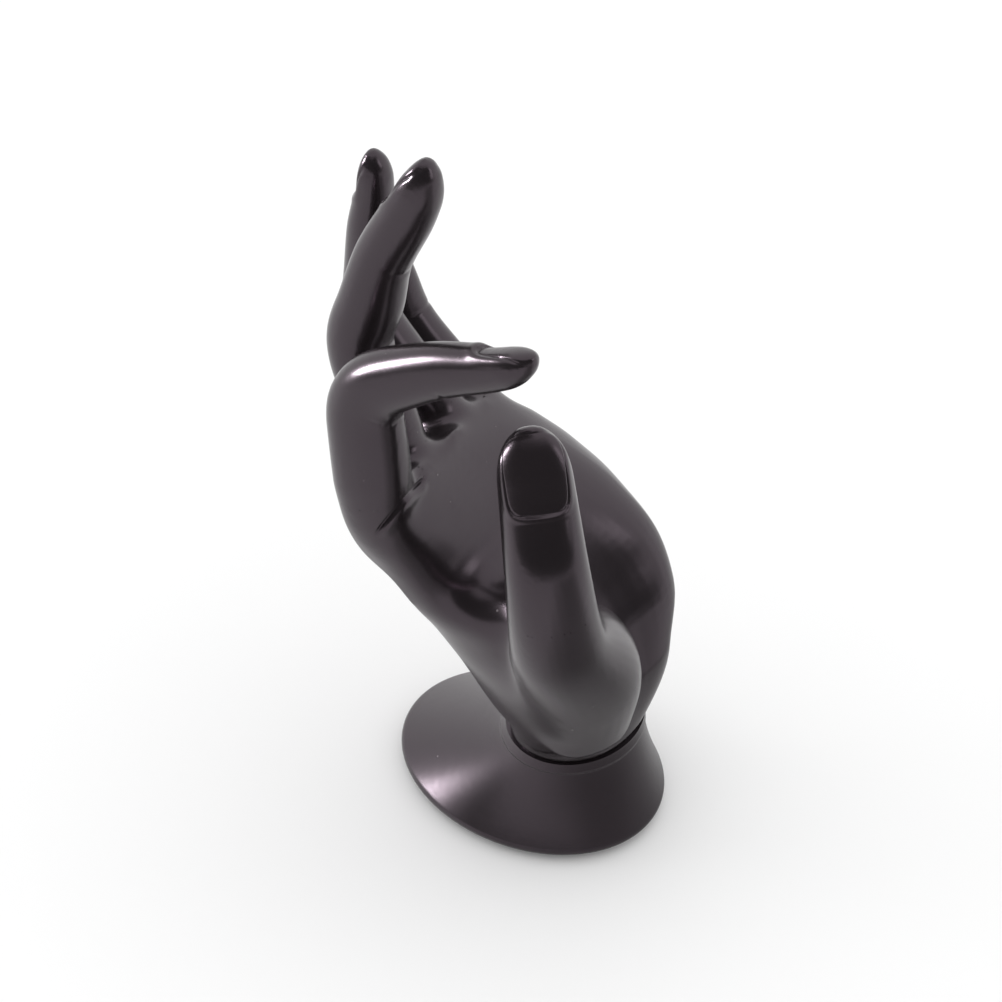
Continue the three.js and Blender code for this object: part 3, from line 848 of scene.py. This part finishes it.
def cast_weight():
    """Plain grey casting with a sandy skin."""
    material, tree, shader = new_material("grey_casting")
    start = Shade(tree)
    place = start.node("ShaderNodeTexCoord", out=3)
    sand = start.node("ShaderNodeTexNoise", Vector=place, Scale=700.0, Detail=5.0)
    colour = start.mix(sand, *CASTING_GREYS)
    bump = start.node("ShaderNodeBump", Strength=0.5, Distance=0.0005, Height=sand)
    shader.inputs["Metallic"].default_value = 0.8
    feed(tree, shader, Base_Color=colour, Roughness=sand * 0.25 + 0.45, Normal=bump)
    return material


def dress(piece, node, material):
    """Gives a piece its finish and its place in the frame."""
    piece.data.materials.clear()
    piece.data.materials.append(material)
    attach(piece, "root")
    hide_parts(node)


class HandSizes(bpy.types.PropertyGroup):
    lean: FloatProperty(
        name="Lean", description="How far the hand leans towards its back",
        default=math.radians(22.6), subtype="ANGLE")
    tilt: FloatProperty(
        name="Tilt", description="How far the hand tilts towards its thumb",
        default=math.radians(6.2), subtype="ANGLE")
    wrist_across: FloatProperty(
        name="Wrist Across", description="Wrist from the neck's middle, in mm", default=-4.0)
    wrist_inward: FloatProperty(
        name="Wrist Inward", description="Wrist towards the palm's side, in mm", default=1.8)
    wrist_rise: FloatProperty(
        name="Wrist Rise", description="Wrist above the neck, in mm", default=4.7)
    voxel: FloatProperty(
        name="Skin Grain", description="Edge of the skin's facets, in mm", default=0.525, min=0.3)
    blend: IntProperty(
        name="Blend", description="Smoothing passes where fingers meet the palm", default=220, min=1)


class BaseSizes(bpy.types.PropertyGroup):
    pad_thick: FloatProperty(
        name="Pad Thickness", description="Felt under the foot, in mm", default=1.5)
    pad_inset: FloatProperty(
        name="Pad Inset", description="Felt behind the foot's flat, in mm", default=1.5)
    foot_long: FloatProperty(
        name="Foot Length", description="Long way across the foot, in mm", default=72.4)
    foot_short: FloatProperty(
        name="Foot Width", description="Short way across the foot, in mm", default=57.4)
    heading: FloatProperty(
        name="Heading", description="Turn from X to the foot's long way",
        default=math.radians(69), subtype="ANGLE")
    far_trim: FloatProperty(
        name="Far Trim", description="Taken off the foot's far end, in mm", default=1.0)
    far_heading: FloatProperty(
        name="Far Heading", description="Turn from X to the far end",
        default=math.radians(45), subtype="ANGLE")
    rim_round: FloatProperty(
        name="Rim Round", description="Radius of the foot's rim, in mm", default=1.7)
    height: FloatProperty(
        name="Height", description="Base from foot to neck, in mm", default=24.5)
    flare: FloatProperty(
        name="Flare", description="How fast the skirt draws in", default=1.3)
    neck_width: FloatProperty(
        name="Neck Width", description="Neck from side to side, in mm", default=37.0)
    neck_depth: FloatProperty(
        name="Neck Depth", description="Neck from front to back, in mm", default=31.0)
    neck_across: FloatProperty(
        name="Neck Across", description="Neck from the foot's middle, in mm", default=-3.3)
    neck_inward: FloatProperty(
        name="Neck Inward", description="Neck towards the palm's side, in mm", default=13.4)
    wall: FloatProperty(
        name="Wall", description="Wall round the hollow, in mm", default=5.0)
    hollow: FloatProperty(
        name="Hollow", description="Depth of the hollow, in mm", default=9.0)


class Looks(bpy.types.PropertyGroup):
    resin_colour: FloatVectorProperty(
        name="Resin", description="Colour of the cast resin",
        default=(0.0075, 0.0066, 0.0069), subtype="COLOR", min=0, max=1)
    resin_roughness: FloatProperty(
        name="Roughness", description="Mean roughness of the resin",
        default=0.24, subtype="FACTOR", min=0, max=1)
    felt_colour: FloatVectorProperty(
        name="Felt", description="Colour of the pad",
        default=(0.012, 0.012, 0.013), subtype="COLOR", min=0, max=1)


class StageSizes(bpy.types.PropertyGroup):
    azimuth: FloatProperty(
        name="Azimuth", description="How far the camera goes round",
        default=math.radians(-62), subtype="ANGLE")
    elevation: FloatProperty(
        name="Elevation", description="How far the camera looks down",
        default=math.radians(38), subtype="ANGLE")
    distance: FloatProperty(
        name="Distance", description="Camera from what it looks at", default=0.7, unit="LENGTH")
    lens: FloatProperty(
        name="Lens", description="Focal length", default=110.7, unit="CAMERA")
    key: FloatProperty(
        name="Key Light", description="Power of the main soft box", default=16.0, unit="POWER")
    fill: FloatProperty(
        name="Fill Light", description="Power of the side soft box", default=0.6, unit="POWER")
    room: FloatProperty(
        name="Room Light", description="Strength of the light all round", default=1.15)


class RING_OT_hand(bpy.types.Operator):
    """Models the hand as one skin and cuts it into palm, thumb and fingers"""
    bl_idname = "ring_holder.hand"
    bl_label = "Hand"

    def execute(self, context):
        settings = context.scene.ring_holder
        model = HandModel(settings.hand, settings.base)
        model.blend()
        model.ease()
        model.refine()
        model.detail()
        material = resin(settings.looks)
        for name, piece in model.cut().items():
            dress(piece, name, material)
        return {"FINISHED"}


# The base: corners of its outlines, steps round its rim and up its flare, the power by which the far trim fades,
# the rim's height in rim radii, the least slope that the flare starts with, the bead at the neck, the drops from
# the neck between which it rises, and a step under the hollow's roof.
BASE_SIDES = 128
RIM_STEPS = 14
FLARE_STEPS = 70
FAR_POWER = 4
RIM_SHARE = 1.7
LEAST_PULL = 0.2
BEAD = 0.4
BEAD_DROPS = (-3.0, -2.4)
ROOF_EDGE = 1.5

# The pad: corners of its outline, and how far it draws in at heights above the floor and below its top.
PAD_SIDES = 96
PAD_EDGE = ((0, 0.3), (0.25, 0.05), (0.6, 0))
PAD_TOP_EDGE = ((0.3, 0.02), (0, 0.25))


def oval(long, short, heading, turn):
    """An oval's reach from its middle at each turn."""
    a = np.cos(turn - heading) / (long / 2)
    b = np.sin(turn - heading) / (short / 2)
    return 1 / np.hypot(a, b)


class BaseShape:
    """Outlines of the base from its foot to its neck."""

    def __init__(self, base, count):
        self.base = base
        self.turn = np.arange(count) / count * 2 * math.pi
        self.foot = base.pad_thick + BOND
        self.neck_level = self.foot + base.height
        self.rim = oval(base.foot_long, base.foot_short, base.heading, self.turn)
        self.rim -= base.far_trim * np.maximum(np.cos(self.turn - base.far_heading), 0) ** FAR_POWER
        self.neck = oval(base.neck_width, base.neck_depth, 0, self.turn)
        shift = base.neck_inward * np.sin(self.turn) - base.neck_across * np.cos(self.turn)
        pull = (self.rim - self.neck + shift) * base.flare / (base.height - RIM_SHARE * base.rim_round)
        self.top = np.arctan(np.maximum(pull, LEAST_PULL))
        self.flare_level = self.foot + base.rim_round * (1 + np.sin(self.top))
        self.flare_inset = base.rim_round * (1 - np.cos(self.top))

    def ring(self, level, share, inset):
        """An outline at a level, a share of the way from the foot to the neck."""
        reach = self.rim + (self.neck - self.rim) * share - inset
        x = self.base.neck_across * share + reach * np.cos(self.turn)
        y = -self.base.neck_inward * share + reach * np.sin(self.turn)
        return np.stack((x, y, np.full_like(x, level)), 1)

    def flare(self, level, inset=0.0):
        """The flare's outline at a level, drawn in by an inset."""
        rise = np.clip((level - self.flare_level) / (self.neck_level - self.flare_level), 0, 1)
        share = 1 - (1 - rise) ** self.base.flare
        return self.ring(level, share, inset + self.flare_inset * (1 - share))


class RING_OT_base(bpy.types.Operator):
    """Models the flared base with its hollow foot"""
    bl_idname = "ring_holder.base"
    bl_label = "Flared Base"

    def execute(self, context):
        settings = context.scene.ring_holder
        base = settings.base
        shape = BaseShape(base, BASE_SIDES)
        roof = shape.foot + base.hollow
        levels = (roof, roof - ROOF_EDGE, shape.flare_level, shape.foot)
        rings = [shape.flare(level, base.wall) for level in levels]
        for share in np.linspace(0, 1, RIM_STEPS):
            turn = (shape.top + math.pi / 2) * share - math.pi / 2
            level = shape.foot + base.rim_round * (1 + np.sin(turn))
            rings.append(shape.ring(level, 0, base.rim_round * (1 - np.cos(turn))))
        for level in np.linspace(shape.flare_level, shape.neck_level + BOND / 2, FLARE_STEPS)[1:]:
            rings.append(shape.flare(level, -BEAD * smoothstep(level - shape.neck_level, *BEAD_DROPS)))
        piece = loft("flared_base", rings)
        only(piece)
        bpy.ops.object.shade_smooth_by_angle(angle=math.radians(50))
        dress(piece, "flared_base", bpy.data.materials["black_resin"])
        return {"FINISHED"}


class RING_OT_pad(bpy.types.Operator):
    """Models the felt pad under the foot"""
    bl_idname = "ring_holder.pad"
    bl_label = "Felt Pad"

    def execute(self, context):
        settings = context.scene.ring_holder
        base = settings.base
        shape = BaseShape(base, PAD_SIDES)
        inset = base.rim_round + base.pad_inset
        edges = PAD_EDGE + tuple((base.pad_thick - drop, soft) for drop, soft in PAD_TOP_EDGE)
        rings = [shape.ring(level, 0, inset + soft) for level, soft in edges]
        piece = loft("felt_pad", rings)
        only(piece)
        bpy.ops.object.shade_smooth_by_angle(angle=math.radians(40))
        dress(piece, "felt_pad", felt(settings.looks))
        return {"FINISHED"}


class RING_OT_weight(bpy.types.Operator):
    """Finishes the weight in the hollow of the base"""
    bl_idname = "ring_holder.weight"
    bl_label = "Weight"

    def execute(self, context):
        weight = frame["nodes"]["ballast"]
        weight.data.materials.clear()
        weight.data.materials.append(cast_weight())
        return {"FINISHED"}


# The stage, in metres. The camera's aim, then for each soft box its place from there to the camera's left, towards
# the camera and up, and its size.
AIM = (-0.0076, 0.0045, 0.0868)
SENSOR = 36
KEY_BOX = dict(place=(0.81, -0.045, 0.378), size=(0.25, 0.36))
SIDE_BOX = dict(place=(-0.765, 0.18, 0.45), size=(0.25, 0.4))

# What only mirror images show: a patch of painted shadow on the floor before the hand, a lane of painted shadow
# from there, and a dark side of the room behind the camera. The patch is an oval, given by its shape, its shift,
# where it fades and how dark it is. The lane has a way, where it begins, how fast it widens, where its edges fade
# and how dark it is.
FLOOR_SIZE = 6
# The floor's pale paint, then the black of its painted shadow.
FLOOR_COLOURS = ((0.9, 0.9, 0.9, 1), (0, 0, 0, 1))
FLOOR_ROUGHNESS = 0.8
SHADOW_PATCH = dict(shape=(0.5, 1, 0), shift=(-0.0025, 0.07, 0), fade=(0.09, 0.025), dark=0.4)
SHADOW_LANE = dict(way=(-0.35, -0.94, 0), aside=(0.94, -0.35, 0), begin=(0.03, 0.1), start_width=0.02, fade=(0.3, 0.03),
            dark=0.65)
ROOM_SIDE = dict(facing=(-0.1, 0.35), rise=(0.0, 0.06), fall=(0.95, 0.8), light=0.08)


def soft_box(name, place, aim, size, power):
    """A rectangle of soft light that looks at a point and shows in the gloss only."""
    lamp = bpy.data.lights.new(name, "AREA")
    lamp.shape, lamp.size, lamp.size_y = "RECTANGLE", size[0], size[1]
    lamp.energy = power
    box = bpy.data.objects.new(name, lamp)
    bpy.context.scene.collection.objects.link(box)
    box.location = place
    box.visible_diffuse = False
    box.rotation_euler = (Vector(place) - Vector(aim)).to_track_quat("Z", "Y").to_euler()


def pale_floor_painted_shadow():
    """Plain pale paint, with a painted shadow before the hand that only mirror images show."""
    material, tree, shader = new_material("pale_floor_painted_shadow")
    start = Shade(tree)
    place = start.node("ShaderNodeTexCoord", out=3)
    spot = start.node("ShaderNodeVectorMath", {"operation": "MULTIPLY_ADD"}, i0=place, i1=SHADOW_PATCH["shape"],
                      i2=SHADOW_PATCH["shift"])
    # An oval patch of painted shadow before the hand.
    patch_shadow = start.node("ShaderNodeVectorMath", {"operation": "LENGTH"}, out=1, i0=spot).ramp(*SHADOW_PATCH["fade"])
    along, aside = place.dot(SHADOW_LANE["way"]), place.dot(SHADOW_LANE["aside"])
    spread = aside * aside / (along * along + SHADOW_LANE["start_width"])
    # A lane of painted shadow that widens away from the hand.
    lane_shadow = along.ramp(*SHADOW_LANE["begin"]) * spread.ramp(*SHADOW_LANE["fade"])
    mirrored = start.node("ShaderNodeLightPath", out=3)
    # Painted shadow: the patch and the lane darken the floor's colour, in mirror images only.
    shade = mirrored * (1 - (1 - patch_shadow * SHADOW_PATCH["dark"]) * (1 - lane_shadow * SHADOW_LANE["dark"]))
    feed(tree, shader, Base_Color=start.mix(shade, *FLOOR_COLOURS))
    shader.inputs["Roughness"].default_value = FLOOR_ROUGHNESS
    return material


def studio(room, level):
    """Even light all round, darker in mirror images on the camera's side."""
    world = bpy.data.worlds.new("studio")
    world.use_nodes = True
    sky = world.node_tree.nodes["Background"]
    start = Shade(world.node_tree)
    way = start.node("ShaderNodeTexCoord", out=0)
    height = start.node("ShaderNodeSeparateXYZ", out=2, Vector=way)
    side = way.dot(tuple(level)).ramp(*ROOM_SIDE["facing"])
    mirrored = start.node("ShaderNodeLightPath", out=3)
    dark = side * height.ramp(*ROOM_SIDE["rise"]) * height.ramp(*ROOM_SIDE["fall"]) * mirrored
    strength = room - dark * (room - ROOM_SIDE["light"])
    world.node_tree.links.new(strength.socket, sky.inputs["Strength"])
    sky.inputs["Color"].default_value = (1, 1, 1, 1)
    return world


class RING_OT_stage(bpy.types.Operator):
    """Sets the pale floor, the soft lights and the camera"""
    bl_idname = "ring_holder.stage"
    bl_label = "Stage"

    def execute(self, context):
        stage = context.scene.ring_holder.stage
        bpy.ops.object.select_all(action="DESELECT")
        bpy.ops.mesh.primitive_plane_add(size=FLOOR_SIZE)
        floor = context.object
        floor.name = floor.data.name = "floor"
        floor.data.materials.append(pale_floor_painted_shadow())
        aim, az, el = Vector(AIM), stage.azimuth, stage.elevation
        back = Vector((math.sin(az) * math.cos(el), -math.cos(az) * math.cos(el), math.sin(el)))
        camera = bpy.data.objects.new("camera", bpy.data.cameras.new("camera"))
        context.scene.collection.objects.link(camera)
        camera.location = aim + back * stage.distance
        camera.rotation_euler = back.to_track_quat("Z", "Y").to_euler()
        camera.data.lens = stage.lens
        camera.data.sensor_width = SENSOR
        camera.data.clip_start = 0.01
        context.scene.camera = camera
        level = Vector((back.x, back.y, 0)).normalized()
        left = Vector((level.y, -level.x, 0))
        context.scene.world = studio(stage.room, level)
        for name, box, power in (("key_box", KEY_BOX, stage.key), ("side_box", SIDE_BOX, stage.fill)):
            aside, towards, up = box["place"]
            place = aim + left * aside + level * towards + Vector((0, 0, up))
            soft_box(name, place, aim, box["size"], power)
        context.scene.view_settings.view_transform = "Standard"
        return {"FINISHED"}


class RingHolder(bpy.types.PropertyGroup):
    hand: PointerProperty(type=HandSizes, name="Hand", description="Sizes of the hand")
    base: PointerProperty(type=BaseSizes, name="Base", description="Sizes of the base and pad")
    looks: PointerProperty(type=Looks, name="Looks", description="Colours and finish")
    stage: PointerProperty(type=StageSizes, name="Stage", description="Camera and lights")


class RING_PT_panel(bpy.types.Panel):
    bl_idname = "RING_PT_panel"
    bl_label = "Ring Holder"
    bl_space_type = "VIEW_3D"
    bl_region_type = "UI"
    bl_category = "Ring Holder"

    def draw(self, context):
        for step in STEPS:
            self.layout.operator(step.bl_idname)
        for group in ("hand", "base", "looks", "stage"):
            box = self.layout.box()
            settings = getattr(context.scene.ring_holder, group)
            for key in settings.__annotations__:
                box.prop(settings, key)


STEPS = (RING_OT_stage, RING_OT_hand, RING_OT_base, RING_OT_pad, RING_OT_weight)
CLASSES = (HandSizes, BaseSizes, Looks, StageSizes, RingHolder, *STEPS, RING_PT_panel)


def register():
    for cls in CLASSES:
        bpy.utils.register_class(cls)
    bpy.types.Scene.ring_holder = PointerProperty(type=RingHolder)


def unregister():
    del bpy.types.Scene.ring_holder
    for cls in reversed(CLASSES):
        bpy.utils.unregister_class(cls)


def main():
    register()
    bpy.ops.ring_holder.stage()
    bpy.ops.ring_holder.hand()
    bpy.ops.ring_holder.base()
    bpy.ops.ring_holder.pad()
    bpy.ops.ring_holder.weight()


if __name__ == "__main__":
    main()
